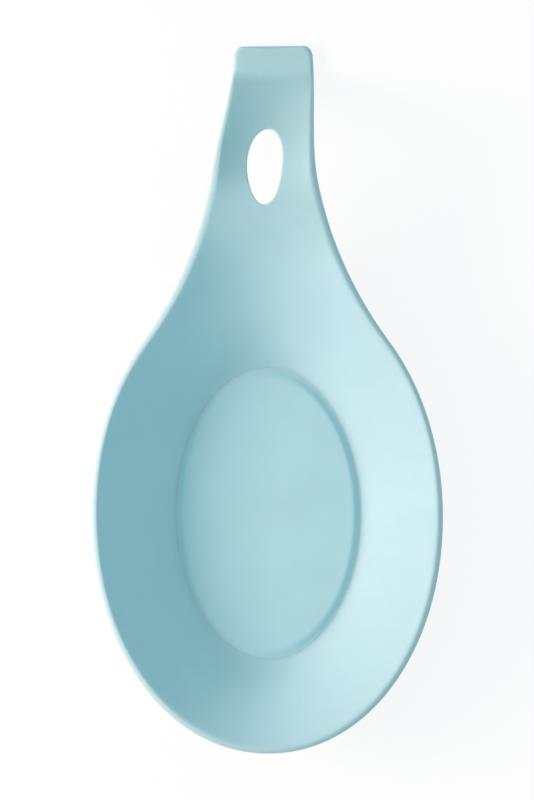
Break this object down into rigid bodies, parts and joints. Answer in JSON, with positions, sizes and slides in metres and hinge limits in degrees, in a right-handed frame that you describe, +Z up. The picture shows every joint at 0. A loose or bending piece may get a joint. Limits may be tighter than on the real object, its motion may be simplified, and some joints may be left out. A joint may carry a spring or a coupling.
{
  "type": "spoon rest",
  "caption": "Oval soft spoon rest with sloping walls, a raised oval floor, an arched channelled neck and a slotted handle that ends in a flat tab",
  "frame": {"origin": "the middle of the pad's flat underside, on the counter", "axes": "+Z up from the counter, +Y from the middle of the bowl to the handle, +X to the right of someone who looks along +Y"},
  "size_m": [0.0964, 0.1953, 0.0223],
  "materials": {
    "shell_silicone": "smooth matte moulded silicone, pale aqua",
    "pad_silicone": "smooth matte moulded silicone, pale aqua"
  },
  "bodies": {
    "root": {"dish_shell": "shell_silicone", "base_pad": "pad_silicone"}
  },
  "joints": []
}
